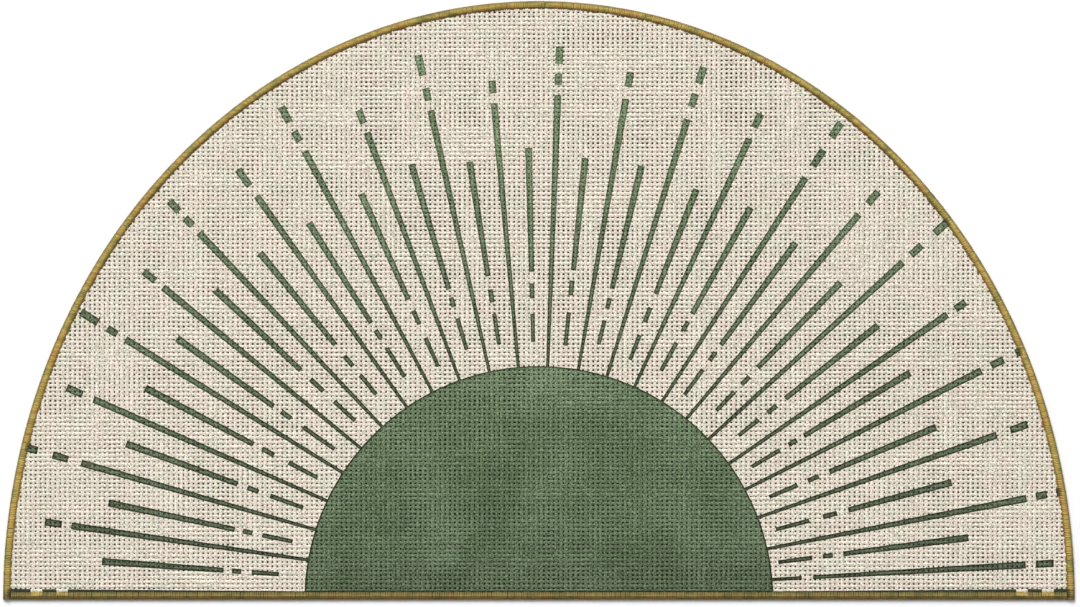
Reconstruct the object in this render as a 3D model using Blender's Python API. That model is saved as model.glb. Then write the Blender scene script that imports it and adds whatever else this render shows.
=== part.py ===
"""A half-round woven doormat: one flat cloth panel, and the overlocked yarn edging round its rim.

Units are metres and +Z is up. The mat lies on z = 0, and its box is centred on x = y = 0.
The straight edge faces -Y and the crown of the curve faces +Y.
"""

import bmesh
import bpy

# Driving dimensions: the whole mat
MAT_WIDTH = 0.900
MAT_DEPTH = 0.503
CURVE_SEGMENTS = 96
STRAIGHT_CUTS = 29

# Driving dimensions: the cloth, pinched thinner where the edging holds it
CLOTH_THICKNESS = 0.0030
RIM_THICKNESS = 0.0018
RIM_UNDERSIDE = 0.0009
RIM_CORNER_RADIUS = 0.0010
SHELF_SWELL = 0.00015
SLOPE_WIDTH = 0.0045

# Driving dimensions: the edging, a thick yarn stitched over the rim
EDGING_WIDTH = 0.0070
EDGING_HEIGHT = 0.0040
EDGING_WALL = 0.0012
EDGING_ROUNDING = 0.0016
CORNER_RADIUS = 0.0025
LIP_SLOPE_WIDTH = 0.0020
LIP_SLOPE_HEIGHT = 0.0006
ROUNDING_SEGMENTS = 3

# Clearances: between pieces, of a cutter past what it cuts, and for a point that counts as on a plane
GAP = 0.0003
OVERSHOOT = 0.0010
ON_PLANE = 0.00001

# Angles in radians: the least turn of an edge that is a corner, and of one that is shaded sharp
CORNER_TURN = 1.0
SHARP_TURN = 0.6

# Places worked out from the sizes above
RIM_INSET = EDGING_WALL + GAP
RIM_TOP = RIM_UNDERSIDE + RIM_THICKNESS
SHELF_WIDTH = EDGING_WIDTH + GAP - RIM_INSET
RISE_ABOVE = CLOTH_THICKNESS - RIM_TOP - SHELF_SWELL
RISE_BELOW = RIM_UNDERSIDE - SHELF_SWELL
STRAIGHT_RUN = MAT_WIDTH - 2 * EDGING_WIDTH

# Colours as linear red, green and blue
CREAM_CLOTH = (0.67, 0.60, 0.50)
OCHRE_YARN = (0.42, 0.30, 0.08)
CLOTH_ROUGHNESS = 0.92
YARN_ROUGHNESS = 0.80


def clear_scene():
    """Removes every object that the scene starts with."""
    for obj in list(bpy.data.objects):
        bpy.data.objects.remove(obj, do_unlink=True)


def new_collection(name):
    """Adds a collection to the scene."""
    collection = bpy.data.collections.new(name)
    bpy.context.scene.collection.children.link(collection)
    return collection


def fabric(name, colour, roughness):
    """A dull material for cloth or yarn."""
    material = bpy.data.materials.new(name)
    material.use_nodes = True
    shader = material.node_tree.nodes["Principled BSDF"]
    shader.inputs["Base Color"].default_value = (*colour, 1.0)
    shader.inputs["Roughness"].default_value = roughness
    shader.inputs["Metallic"].default_value = 0.0
    return material


def face_outwards(bm):
    """Makes the faces of a closed body agree and point outwards."""
    bmesh.ops.recalc_face_normals(bm, faces=bm.faces)
    if bm.calc_volume(signed=True) < 0:
        bmesh.ops.reverse_faces(bm, faces=bm.faces)


def inset_face(bm, face, width, rise=0.0):
    """Insets a face by a width and moves it outwards by a rise. The face stays the inner one."""
    bmesh.ops.inset_region(
        bm, faces=[face], thickness=width, depth=rise, use_boundary=True, use_even_offset=True
    )


def prism(bm, face, height):
    """Extrudes a face straight up into a closed block and returns its bottom and top faces."""
    made = bmesh.ops.extrude_face_region(bm, geom=[face], use_keep_orig=True)["geom"]
    top = next(item for item in made if isinstance(item, bmesh.types.BMFace))
    bmesh.ops.translate(bm, vec=(0, 0, height), verts=top.verts)
    face_outwards(bm)
    return face, top


def rounded(bm, edges, radius):
    """Rounds the given edges."""
    bmesh.ops.bevel(
        bm,
        geom=edges,
        offset=radius,
        segments=ROUNDING_SEGMENTS,
        profile=0.5,
        affect="EDGES",
        clamp_overlap=True,
    )


def half_round(bm, inset, height):
    """The mat's flat outline moved inwards by an inset, as one face at this height."""
    bmesh.ops.create_circle(bm, cap_ends=True, segments=2 * CURVE_SEGMENTS, radius=1)
    bmesh.ops.scale(bm, vec=(MAT_WIDTH / 2, MAT_DEPTH, 1), verts=bm.verts)
    whole = [*bm.verts, *bm.edges, *bm.faces]
    bmesh.ops.bisect_plane(
        bm, geom=whole, dist=ON_PLANE, plane_co=(0, 0, 0), plane_no=(0, -1, 0), clear_outer=True
    )
    straight_side = max(bm.edges, key=lambda edge: edge.calc_length())
    bmesh.ops.subdivide_edges(bm, edges=[straight_side], cuts=STRAIGHT_CUTS)
    bmesh.ops.translate(bm, vec=(0, -MAT_DEPTH / 2, height), verts=bm.verts)
    face = next(iter(bm.faces))
    if inset > 0:
        inset_face(bm, face, inset)
        bmesh.ops.delete(bm, geom=[other for other in bm.faces if other != face], context="FACES")
    return face


def upright_corners(bm):
    """The upright edges of the two corners where the straight side meets the curve."""
    upright = [edge for edge in bm.edges if (edge.verts[0].co - edge.verts[1].co).to_2d().length < GAP]
    return [edge for edge in upright if edge.calc_face_angle() > CORNER_TURN]


def level_rims(bm):
    """The edges between a block's upright side and its level top and bottom."""
    return [edge for edge in bm.edges if {round(abs(face.normal.z)) for face in edge.link_faces} == {0, 1}]


def cloth_body(swell=0.0):
    """The cloth panel, flat on both faces, with a thinner shelf round its rim. swell grows it all round."""
    bm = bmesh.new()
    outline = half_round(bm, RIM_INSET - swell, RIM_UNDERSIDE - swell)
    bottom, top = prism(bm, outline, RIM_THICKNESS + 2 * swell)
    for face, rise in ((top, RISE_ABOVE), (bottom, RISE_BELOW)):
        inset_face(bm, face, SHELF_WIDTH, SHELF_SWELL)
        inset_face(bm, face, SLOPE_WIDTH, rise)
    rounded(bm, upright_corners(bm), RIM_CORNER_RADIUS)
    return bm


def edging_blank():
    """The edging's outer form as a full plate with a rounded rim, before it is opened."""
    bm = bmesh.new()
    prism(bm, half_round(bm, 0, 0), EDGING_HEIGHT)
    rounded(bm, upright_corners(bm), CORNER_RADIUS)
    bm.normal_update()
    rounded(bm, level_rims(bm), EDGING_ROUNDING)
    return bm


def opening_body():
    """The space inside the edging's inner lip, wider at the top where the yarn rounds over."""
    bm = bmesh.new()
    outline = half_round(bm, EDGING_WIDTH - LIP_SLOPE_WIDTH, EDGING_HEIGHT)
    bottom, _ = prism(bm, outline, OVERSHOOT)
    inset_face(bm, bottom, LIP_SLOPE_WIDTH, LIP_SLOPE_HEIGHT)
    (lowest,) = bmesh.ops.extrude_discrete_faces(bm, faces=[bottom])["faces"]
    bmesh.ops.translate(bm, vec=(0, 0, -EDGING_HEIGHT - OVERSHOOT), verts=lowest.verts)
    return bm


def straight_run_body(length):
    """A box round the edging's straight run, between the two ends of the curved run."""
    bm = bmesh.new()
    bmesh.ops.create_cube(bm, size=1)
    width = EDGING_WIDTH + 2 * OVERSHOOT
    height = EDGING_HEIGHT + 2 * OVERSHOOT
    bmesh.ops.scale(bm, vec=(length, width, height), verts=bm.verts)
    middle = ((EDGING_WIDTH - MAT_DEPTH) / 2, EDGING_HEIGHT / 2)
    bmesh.ops.translate(bm, vec=(0, *middle), verts=bm.verts)
    return bm


def new_object(name, bm, collection, material=None):
    """Turns a bmesh into an object with outward faces, shaded smooth where its faces nearly agree."""
    face_outwards(bm)
    mesh = bpy.data.meshes.new(name)
    bm.to_mesh(mesh)
    bm.free()
    mesh.shade_smooth()
    mesh.set_sharp_from_angle(angle=SHARP_TURN)
    obj = bpy.data.objects.new(name, mesh)
    collection.objects.link(obj)
    if material:
        mesh.materials.append(material)
    return obj


def new_cutter(name, bm, collection):
    """A hidden body that only shapes other pieces."""
    cutter = new_object(name, bm, collection)
    cutter.hide_render = True
    cutter.display_type = "WIRE"
    return cutter


def boolean(obj, cutter, operation):
    """Adds a Boolean with the exact solver."""
    modifier = obj.modifiers.new(cutter.name, "BOOLEAN")
    modifier.operation = operation
    modifier.solver = "EXACT"
    modifier.object = cutter


def build_cloth(collection):
    """The woven panel: one closed sheet with the half-round outline."""
    canvas = fabric("Cotton canvas", CREAM_CLOTH, CLOTH_ROUGHNESS)
    return new_object("cloth_panel", cloth_body(), collection, canvas)


def build_edging(collection, cutters):
    """The edging in its two runs, each a channel that closes over the cloth's rim."""
    yarn = fabric("Overlock yarn", OCHRE_YARN, YARN_ROUGHNESS)
    opening = new_cutter("edging_opening", opening_body(), cutters)
    channel = new_cutter("cloth_clearance", cloth_body(swell=GAP), cutters)
    between = new_cutter("between_corners", straight_run_body(STRAIGHT_RUN), cutters)
    along = new_cutter("along_straight", straight_run_body(STRAIGHT_RUN - 2 * GAP), cutters)
    runs = []
    for name, zone, operation in (
        ("edging_curved", between, "DIFFERENCE"),
        ("edging_straight", along, "INTERSECT"),
    ):
        run = new_object(name, edging_blank(), collection, yarn)
        boolean(run, opening, "DIFFERENCE")
        boolean(run, channel, "DIFFERENCE")
        boolean(run, zone, operation)
        runs.append(run)
    return runs


def main():
    """Builds the doormat and hangs its pieces on one empty at the mat's middle."""
    clear_scene()
    collection = new_collection("Doormat")
    cutters = new_collection("Doormat cutters")
    middle = bpy.data.objects.new("doormat", None)
    collection.objects.link(middle)
    for piece in [build_cloth(collection), *build_edging(collection, cutters)]:
        piece.parent = middle


main()
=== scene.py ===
"""The looks of a half-round doormat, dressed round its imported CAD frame.

Lengths are metres. The mat lies flat on z = 0, its straight edge faces -Y, and the crown of its curve
faces +Y. Real yarns, woven over and under, stand for the cloth panel, and their upper sides carry a
printed rising sun with rays. Overlock stitches over a padding cord stand for the two runs of edging.
"""

import logging
import math
from collections.abc import Iterable, Sequence
from dataclasses import dataclass
from enum import Enum
from functools import partial
from typing import NamedTuple

import bmesh
import bpy
import numpy as np
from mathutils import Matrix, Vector, noise


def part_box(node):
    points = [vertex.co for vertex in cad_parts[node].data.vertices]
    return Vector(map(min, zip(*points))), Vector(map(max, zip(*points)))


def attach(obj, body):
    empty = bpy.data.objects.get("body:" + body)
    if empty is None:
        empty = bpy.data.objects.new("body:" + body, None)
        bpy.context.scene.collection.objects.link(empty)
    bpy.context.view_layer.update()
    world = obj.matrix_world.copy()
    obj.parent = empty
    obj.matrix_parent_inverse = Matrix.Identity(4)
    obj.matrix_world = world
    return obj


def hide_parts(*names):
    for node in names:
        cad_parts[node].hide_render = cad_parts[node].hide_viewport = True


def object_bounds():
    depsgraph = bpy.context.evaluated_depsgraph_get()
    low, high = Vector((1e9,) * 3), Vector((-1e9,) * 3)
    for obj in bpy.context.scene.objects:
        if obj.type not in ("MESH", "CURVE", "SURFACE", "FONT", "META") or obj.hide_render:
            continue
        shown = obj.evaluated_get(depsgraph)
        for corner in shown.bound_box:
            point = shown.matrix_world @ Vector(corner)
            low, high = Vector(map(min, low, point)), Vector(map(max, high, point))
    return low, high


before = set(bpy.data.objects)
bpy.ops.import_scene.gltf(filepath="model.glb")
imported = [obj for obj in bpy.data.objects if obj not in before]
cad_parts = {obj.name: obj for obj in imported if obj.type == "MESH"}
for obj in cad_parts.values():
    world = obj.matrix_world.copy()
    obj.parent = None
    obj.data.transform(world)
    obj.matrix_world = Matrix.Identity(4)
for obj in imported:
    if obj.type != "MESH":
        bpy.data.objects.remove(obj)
CAD_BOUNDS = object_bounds()

log = logging.getLogger("doormat")

MM = 0.001
ON_PLANE = 0.01 * MM
BODY = "root"

# The map that the export bakes through, and its empty rim as a share of its side
BAKE_MAP = "OFBake"
BAKE_MARGIN = 0.01

# What each face or corner of the stitches tells its material
STITCH_TONE = "stitch_tone"
STITCH_WAY = "stitch_way"
MIDDLE_TONE = 0.5

# What Blender's own patterns give: most values of a noise, its middle, and the repeat of diagonal bands
NOISE_SPREAD = (0.3, 0.7)
NOISE_MIDDLE = 0.5
BAND_REPEAT = 0.628

Colour = tuple[float, float, float, float]
BLACK: Colour = (0.0, 0.0, 0.0, 1.0)
WHITE: Colour = (1.0, 1.0, 1.0, 1.0)


def linear(code: str) -> Colour:
    """Turns an sRGB hex colour into linear light.

    Args:
        code: The colour as "#RRGGBB".

    Returns:
        Red, green and blue as linear values, and a full alpha.
    """
    shares = [int(code[start : start + 2], 16) / 255 for start in (1, 3, 5)]
    lit = [share / 12.92 if share <= 0.04045 else ((share + 0.055) / 1.055) ** 2.4 for share in shares]
    return (*lit, 1.0)


def add_node(
    tree: bpy.types.NodeTree,
    kind: str,
    *values: object,
    inputs: dict[str, object] | None = None,
    stops: Sequence[tuple[float, Colour]] = (),
    **settings: object,
) -> bpy.types.Node:
    """Adds a node with its settings and links.

    Args:
        tree: The node tree that takes it.
        kind: The node's type, without the word ShaderNode before it.
        values: What goes into its first inputs in use: a plain value, a socket, or a node whose first
            output in use is meant.
        inputs: The same for inputs given by name.
        stops: The places and colours of a ramp, in order.
        settings: The node's own properties.

    Returns:
        The new node.
    """
    node = tree.nodes.new("ShaderNode" + kind)
    for name, setting in settings.items():
        setattr(node, name, setting)
    in_use = [socket for socket in node.inputs if socket.enabled]
    named = {socket.name: socket for socket in reversed(in_use)}
    wanted = [(in_use[place], value) for place, value in enumerate(values)]
    wanted += [(named[name], value) for name, value in (inputs or {}).items()]
    for socket, value in wanted:
        if isinstance(value, bpy.types.Node):
            value = next(output for output in value.outputs if output.enabled)
        if isinstance(value, bpy.types.NodeSocket):
            tree.links.new(value, socket)
        else:
            socket.default_value = value
    for number, (position, colour) in enumerate(stops):
        elements = node.color_ramp.elements
        # A new ramp has two stops already
        element = elements[number] if number < 2 else elements.new(position)
        element.position = position
        element.color = colour
    return node


def ramp_stops(places: Sequence[float], codes: Sequence[str]) -> list[tuple[float, Colour]]:
    """The stops of a ramp, from their places and their sRGB hex colours."""
    return [(place, linear(code)) for place, code in zip(places, codes)]


def new_material(name: str) -> tuple[bpy.types.Material, bpy.types.NodeTree, bpy.types.Node]:
    """Makes a material with a Principled shader.

    Args:
        name: The material's common name.

    Returns:
        The material, its node tree and its Principled shader.
    """
    material = bpy.data.materials.new(name)
    material.use_nodes = True
    tree = material.node_tree
    return material, tree, tree.nodes["Principled BSDF"]


def link_object(name: str, data: bpy.types.ID) -> bpy.types.Object:
    """Puts an object into the scene, at the origin.

    Args:
        name: Its name.
        data: Its mesh, curve, lamp or camera.

    Returns:
        The object.
    """
    obj = bpy.data.objects.new(name, data)
    bpy.context.scene.collection.objects.link(obj)
    return obj


def dress(obj: bpy.types.Object, material: bpy.types.Material) -> bpy.types.Object:
    """Finishes a piece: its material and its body.

    Args:
        obj: The piece.
        material: Its material.

    Returns:
        The piece.
    """
    obj.data.materials.clear()
    obj.data.materials.append(material)
    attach(obj, BODY)
    return obj


# How finely the outline is drawn and measured, and the least level that a distance is worked out from
OUTLINE_SEGMENTS = 240
AREA_POINTS = 721
LEAST_LEVEL = 0.01


@dataclass(frozen=True)
class HalfEllipse:
    """The mat's flat outline: half an ellipse on a straight edge."""

    half_width: float
    rise: float
    centre_y: float
    base_y: float
    """The y of the straight edge, which an inset moves away from the ellipse's centre."""

    def inset(self, width: float) -> "HalfEllipse":
        """The outline moved inwards all round by a width."""
        return HalfEllipse(self.half_width - width, self.rise - width, self.centre_y, self.base_y + width)

    def span(self, axis: int, place: float) -> tuple[float, float]:
        """Where a line across the outline starts and ends.

        Args:
            axis: 0 for a line along x, and 1 for one along y.
            place: The line's y, or its x.

        Returns:
            The line's lowest and highest x, or y.
        """
        if axis:
            share = max(0.0, 1 - (place / self.half_width) ** 2)
            return self.base_y, self.centre_y + self.rise * math.sqrt(share)
        share = max(0.0, 1 - ((place - self.centre_y) / self.rise) ** 2)
        reach = self.half_width * math.sqrt(share)
        return -reach, reach

    def distance_inside(self, x: np.ndarray, y: np.ndarray) -> np.ndarray:
        """How far points near the rim are from it.

        Args:
            x: The points' x.
            y: The points' y.

        Returns:
            The distances, positive inside.
        """
        across, up = x / self.half_width, (y - self.centre_y) / self.rise
        level = np.maximum(np.hypot(across, up), LEAST_LEVEL)
        slope = np.hypot(across / self.half_width, up / self.rise) / level
        return np.minimum((1 - level) / slope, y - self.base_y)

    def curve_points(self, count: int) -> np.ndarray:
        """Points along the curve from its right end to its left.

        Args:
            count: How many points.

        Returns:
            Their x and y, a row each.
        """
        lowest = math.asin((self.base_y - self.centre_y) / self.rise)
        turn = np.linspace(lowest, math.pi - lowest, count)
        return np.column_stack((self.half_width * np.cos(turn), self.centre_y + self.rise * np.sin(turn)))

    def area(self) -> float:
        """The area inside the outline."""
        x, y = self.curve_points(AREA_POINTS).T
        return 0.5 * abs(np.dot(x, np.roll(y, -1)) - np.dot(y, np.roll(x, -1)))

    def face(self, bm: bmesh.types.BMesh, height: float) -> bmesh.types.BMFace:
        """Makes the outline as one flat face.

        Args:
            bm: The mesh that takes it.
            height: Its z.

        Returns:
            The face.
        """
        bmesh.ops.create_circle(bm, cap_ends=True, segments=OUTLINE_SEGMENTS, radius=1)
        bmesh.ops.scale(bm, vec=(self.half_width, self.rise, 1), verts=bm.verts)
        bmesh.ops.translate(bm, vec=(0, self.centre_y, height), verts=bm.verts)
        bmesh.ops.bisect_plane(
            bm,
            geom=[*bm.verts, *bm.edges, *bm.faces],
            dist=ON_PLANE,
            plane_co=(0, self.base_y, 0),
            plane_no=(0, -1, 0),
            clear_outer=True,
        )
        return next(iter(bm.faces))


def close_upwards(bm: bmesh.types.BMesh, height: float) -> None:
    """Extrudes a flat face or band straight up into a closed body with outward faces.

    Args:
        bm: The mesh, which holds nothing else.
        height: How far up.
    """
    made = bmesh.ops.extrude_face_region(bm, geom=list(bm.faces), use_keep_orig=True)["geom"]
    top = [item for item in made if isinstance(item, bmesh.types.BMVert)]
    bmesh.ops.translate(bm, vec=(0, 0, height), verts=top)
    bmesh.ops.recalc_face_normals(bm, faces=bm.faces)
    if bm.calc_volume(signed=True) < 0:
        bmesh.ops.reverse_faces(bm, faces=bm.faces)


def mesh_object(name: str, bm: bmesh.types.BMesh) -> bpy.types.Object:
    """Turns a bmesh into an object of the scene.

    Args:
        name: The object's name.
        bm: The bmesh, which is used up.

    Returns:
        The object.
    """
    mesh = bpy.data.meshes.new(name)
    bm.to_mesh(mesh)
    bm.free()
    return link_object(name, mesh)


def section(width: float, height: float, corners: Sequence[tuple[float, float]]) -> bpy.types.Object:
    """Makes the cross section of a yarn.

    Args:
        width: Its size along the cloth.
        height: Its size up.
        corners: Its corners, clockwise, as shares of the width and the height.

    Returns:
        A curve to bevel with. It has no place in the finished scene.
    """
    curve = bpy.data.curves.new("yarn section", "CURVE")
    spline = curve.splines.new("POLY")
    spline.points.add(len(corners) - 1)
    points = [(across * width, up * height, 0.0, 1.0) for across, up in corners]
    spline.points.foreach_set("co", np.ravel(points))
    spline.use_cyclic_u = True
    return link_object("yarn section", curve)


def yarn_mesh(
    name: str, runs: Iterable[np.ndarray], profile: bpy.types.Object, twist: str
) -> bpy.types.Object:
    """Sweeps a section along yarns, as one mesh.

    Args:
        name: The piece's name.
        runs: For each yarn, its points as rows of x, y, z and thickness share.
        profile: The section, which is used up.
        twist: How the section turns along a yarn: "Z_UP" or "MINIMUM".

    Returns:
        The piece. Its faces come in the order of Blender's curves: all end caps, last yarn first, and then
        the yarns' sides.
    """
    curve = bpy.data.curves.new(name, "CURVE")
    curve.dimensions = "3D"
    curve.twist_mode = twist
    curve.bevel_mode = "OBJECT"
    curve.bevel_object = profile
    curve.use_fill_caps = True
    for run in runs:
        spline = curve.splines.new("POLY")
        spline.points.add(len(run) - 1)
        spline.points.foreach_set("co", np.column_stack((run[:, :3], np.ones(len(run)))).ravel())
        spline.points.foreach_set("radius", run[:, 3])
    swept = link_object(name, curve)
    graph = bpy.context.evaluated_depsgraph_get()
    mesh = bpy.data.meshes.new_from_object(swept.evaluated_get(graph))
    for used in (swept, profile):
        data = used.data
        bpy.data.objects.remove(used)
        bpy.data.curves.remove(data)
    mesh.name = name
    mesh.shade_smooth()
    return link_object(name, mesh)


def read_all(items: bpy.types.bpy_prop_collection, name: str, width: int = 1) -> np.ndarray:
    """Reads one property of many mesh elements at once.

    Args:
        items: The elements.
        name: The property's name.
        width: How many numbers it has.

    Returns:
        A row for each element, or one flat array where the width is 1.
    """
    values = np.empty(len(items) * width, np.float32)
    items.foreach_get(name, values)
    return values.reshape(-1, width) if width > 1 else values


def lay_flat(obj: bpy.types.Object) -> None:
    """Gives a flat piece the map that the export bakes through.

    Args:
        obj: The piece. Its upper faces are mapped as seen from above, and its lower ones beside them.
    """
    mesh = obj.data
    places = read_all(mesh.vertices, "co", 3)[read_all(mesh.loops, "vertex_index").astype(int), :2]
    faces_down = read_all(mesh.polygons, "normal", 3)[:, 2] < 0
    below = np.repeat(faces_down, read_all(mesh.polygons, "loop_total").astype(int))
    lowest, highest = places.min(0), places.max(0)
    spots = BAKE_MARGIN + (1 - 2 * BAKE_MARGIN) * (places - lowest) / (highest - lowest)
    short_side = int(np.argmin(highest - lowest))
    spots[:, short_side] = (spots[:, short_side] + below) / 2
    while mesh.uv_layers:
        mesh.uv_layers.remove(mesh.uv_layers[0])
    mesh.uv_layers.new(name=BAKE_MAP).data.foreach_set("uv", spots.astype(np.float32).ravel())


@dataclass(frozen=True)
class Ray:
    """How one kind of ray is printed. It has the turning long rays' wedge and stretch if it gives none."""

    dashes: tuple[tuple[float, float], ...]
    """Where each dash starts and ends, as distances from the centre."""

    wedge: float = 0.0147
    """How much wider the ray gets for each metre from the centre."""

    stretch: tuple[float, float] = (0.009, 0.025)
    """How much further out the dashes lie for each metre to the right, and for each metre up."""


class RayKind(Enum):
    """The kinds of ray. All but the short ones start under the sun's edge."""

    PLAIN = Ray(((0.1500, 0.4035), (0.4131, 0.4267)))
    TIPPED = Ray(((0.1500, 0.4050), (0.4146, 0.4265), (0.4371, 0.4532)))
    BROKEN = Ray(((0.1500, 0.2138), (0.2252, 0.4062), (0.4133, 0.4258)))
    SHORT = Ray(((0.2085, 0.2345), (0.2450, 0.2555), (0.2645, 0.3635)), 0.0165, (-0.010, 0.012))
    LEVEL = Ray(((0.1500, 0.3978), (0.4073, 0.4193), (0.4292, 0.4790)), 0.0164, (0.006, 0.0))


class Ink(NamedTuple):
    """What the print gives at a spot of the surface."""

    printed: bpy.types.Node
    """1 under the print and 0 elsewhere."""

    pooled_and_crease_shade: bpy.types.Node
    # Rises to 1 where ink pools at the print's edges, and along the fold under the edging, where the same
    # darkening is painted shade in the crease.
    """Rises to 1 where ink pools at the print's edges."""

    on_ray: bpy.types.Node
    """1 on the rays and 0 on the sun."""


# How far apart in the noise two rays side by side read their jitter
JITTER_LANE = math.e

# How near to a ray's number counts as that number
SAME_NUMBER = 0.5


@dataclass(frozen=True)
class Sunburst:
    """The print: a rising half disc on the straight edge, and rays laid out by one repeating rule.

    Between the two level rays, the others are numbered from 0 on the right. Odd ones are short. Number 0 is
    broken, number 2 and every fourth from it is tipped, and the rest are plain.
    """

    sun_radius: float = 196.8 * MM
    sun_centre: tuple[float, float] = (0.0, -251.9 * MM)
    ray_centre: tuple[float, float] = (0.2 * MM, -245.6 * MM)
    ray_count: int = 46
    first_angle: float = math.radians(3.262)
    step: float = math.radians(3.837)
    side_stretch: float = math.radians(0.523)
    """How far a ray at 45 degrees is turned towards the upright from its even place."""

    triplet_shift: float = math.radians(0.153)
    """Of each three rays, one keeps its place, and two are turned by nearly this, one to either side."""

    dash_jitter: float = 22 * MM
    """How far a dash's end shifts for a change of 1 in the noise, whose values keep near their middle."""

    dash_jitter_length: float = 60 * MM
    dash_fade: float = 2.0 * MM
    """How far to each side of a dash's end its ramp goes from black to white."""

    edge_blur: float = 0.10 * MM
    edge_pool: tuple[float, float] = (0.6 * MM, 1.8 * MM)
    # How deep inside the print's edge, and how far above the fold, the pooled ink and the painted crease
    # shade start to thin, and where they end.
    """How deep inside the print's edge the pooled ink starts to thin, and where it ends."""

    edge_wobble: float = 0.28 * MM
    edge_grain: float = 4.0 * MM
    level_depth: float = 1.0 * MM
    """The most that counts as depth in a level ray, so that ink pools over all of it."""

    fold_y: float = -244.8 * MM
    # Where the cloth goes under the edging: the darkening along it is painted shade in the crease, laid on
    # as pooled ink.
    """Where the cloth goes under the edging, and ink pools too."""

    reach: float = 500 * MM
    """The distance from the rays' centre that a ramp of dashes ends at."""

    ink_depth: tuple[float, float] = (0.7 * MM, 1.2 * MM)
    """The heights where the ink ends and where it is full."""

    def dash_stops(self, ray: Ray) -> list[tuple[float, Colour]]:
        """The stops of a ramp that is white along a ray's dashes, and fades evenly over their ends.

        Args:
            ray: The kind of ray.

        Returns:
            Places as shares of the print's reach, and their colours.
        """
        stops = []
        for start, end in ray.dashes:
            for edge, before, after in ((start, BLACK, WHITE), (end, WHITE, BLACK)):
                stops.append(((edge - self.dash_fade) / self.reach, before))
                stops.append(((edge + self.dash_fade) / self.reach, after))
        return stops

    def ray_depth(
        self,
        tree: bpy.types.NodeTree,
        away: bpy.types.Node,
        half_width: bpy.types.Node,
        dashes: bpy.types.Node,
    ) -> bpy.types.Node:
        """How deep inside a ray's edges the surface is.

        Args:
            tree: The material's nodes.
            away: The distance from the ray's middle line.
            half_width: Half the ray's width there.
            dashes: 1 along its dashes and 0 between them.

        Returns:
            The depth, under 0 outside.
        """
        across = add_node(tree, "Math", half_width, away, operation="SUBTRACT")
        along = add_node(tree, "MapRange", dashes, 0.0, 1.0, -self.dash_fade, self.dash_fade)
        return add_node(tree, "Math", across, along, operation="MINIMUM")

    def pulled_in(
        self,
        tree: bpy.types.NodeTree,
        flat: bpy.types.Node,
        radius: bpy.types.Node,
        stretch: bpy.types.Node | tuple[float, float, float],
    ) -> bpy.types.Node:
        """Measures how far out the surface is along a ray, once the dashes' stretch is taken off.

        Args:
            tree: The material's nodes.
            flat: The flat offset from the rays' centre.
            radius: The distance from it.
            stretch: The stretch to the right and up, as a value or a node.

        Returns:
            The distance to compare with the dashes of the ray's kind.
        """
        pull = add_node(tree, "VectorMath", flat, stretch, operation="DOT_PRODUCT")
        return add_node(tree, "Math", radius, pull, operation="SUBTRACT")

    def offset_from(
        self, tree: bpy.types.NodeTree, place: bpy.types.Node, centre: tuple[float, float]
    ) -> tuple[bpy.types.Node, bpy.types.Node]:
        """Measures the surface from a point of the print.

        Args:
            tree: The material's nodes.
            place: The spot on the surface.
            centre: The point's x and y.

        Returns:
            The flat offset from the point, and its length.
        """
        offset = add_node(tree, "VectorMath", place, (*centre, 0.0), operation="SUBTRACT")
        flat = add_node(tree, "VectorMath", offset, (1.0, 1.0, 0.0), operation="MULTIPLY")
        return flat, add_node(tree, "VectorMath", flat, operation="LENGTH")

    def turning_rays(
        self, tree: bpy.types.NodeTree, flat: bpy.types.Node, radius: bpy.types.Node
    ) -> bpy.types.Node:
        """How deep the surface is inside the rays that fan out between the two level ones.

        Args:
            tree: The material's nodes.
            flat: The flat offset from the rays' centre.
            radius: The distance from it.

        Returns:
            The depth, under 0 outside.
        """
        add = partial(add_node, tree)
        sides = add("SeparateXYZ", flat)
        angle = add("Math", sides.outputs["Y"], sides.outputs["X"], operation="ARCTAN2")
        twice = add("Math", angle, 2.0, operation="MULTIPLY")
        bulge = add("Math", twice, operation="SINE")
        evened = add("Math", bulge, -self.side_stretch, angle, operation="MULTIPLY_ADD")
        from_first = add("Math", evened, self.first_angle, operation="SUBTRACT")
        steps = add("Math", from_first, self.step, operation="DIVIDE")
        number = add("Math", steps, operation="ROUND")

        third = add("Math", number, math.tau / 3, operation="MULTIPLY")
        sway = add("Math", third, operation="SINE")
        shift = add("Math", sway, -self.triplet_shift, operation="MULTIPLY")
        off_steps = add("Math", steps, number, operation="SUBTRACT")
        off_angle = add("Math", off_steps, self.step, shift, operation="MULTIPLY_ADD")
        off = add("Math", off_angle, operation="ABSOLUTE")
        away = add("Math", off, radius, operation="MULTIPLY")

        is_short = add("Math", number, 2.0, operation="FLOORED_MODULO")
        long_wedge, short_wedge = RayKind.PLAIN.value.wedge, RayKind.SHORT.value.wedge
        extra = (short_wedge - long_wedge) / 2
        wedge = add("Math", is_short, extra, long_wedge / 2, operation="MULTIPLY_ADD")
        half_width = add("Math", wedge, radius, operation="MULTIPLY")

        dashes = self.turning_dashes(tree, flat, radius, number, is_short)
        middle_number = (self.ray_count - 1) / 2
        is_ray = add("Math", number, middle_number, self.ray_count / 2, operation="COMPARE")
        drawn = add("Math", dashes, is_ray, operation="MULTIPLY")
        return self.ray_depth(tree, away, half_width, drawn)

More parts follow.
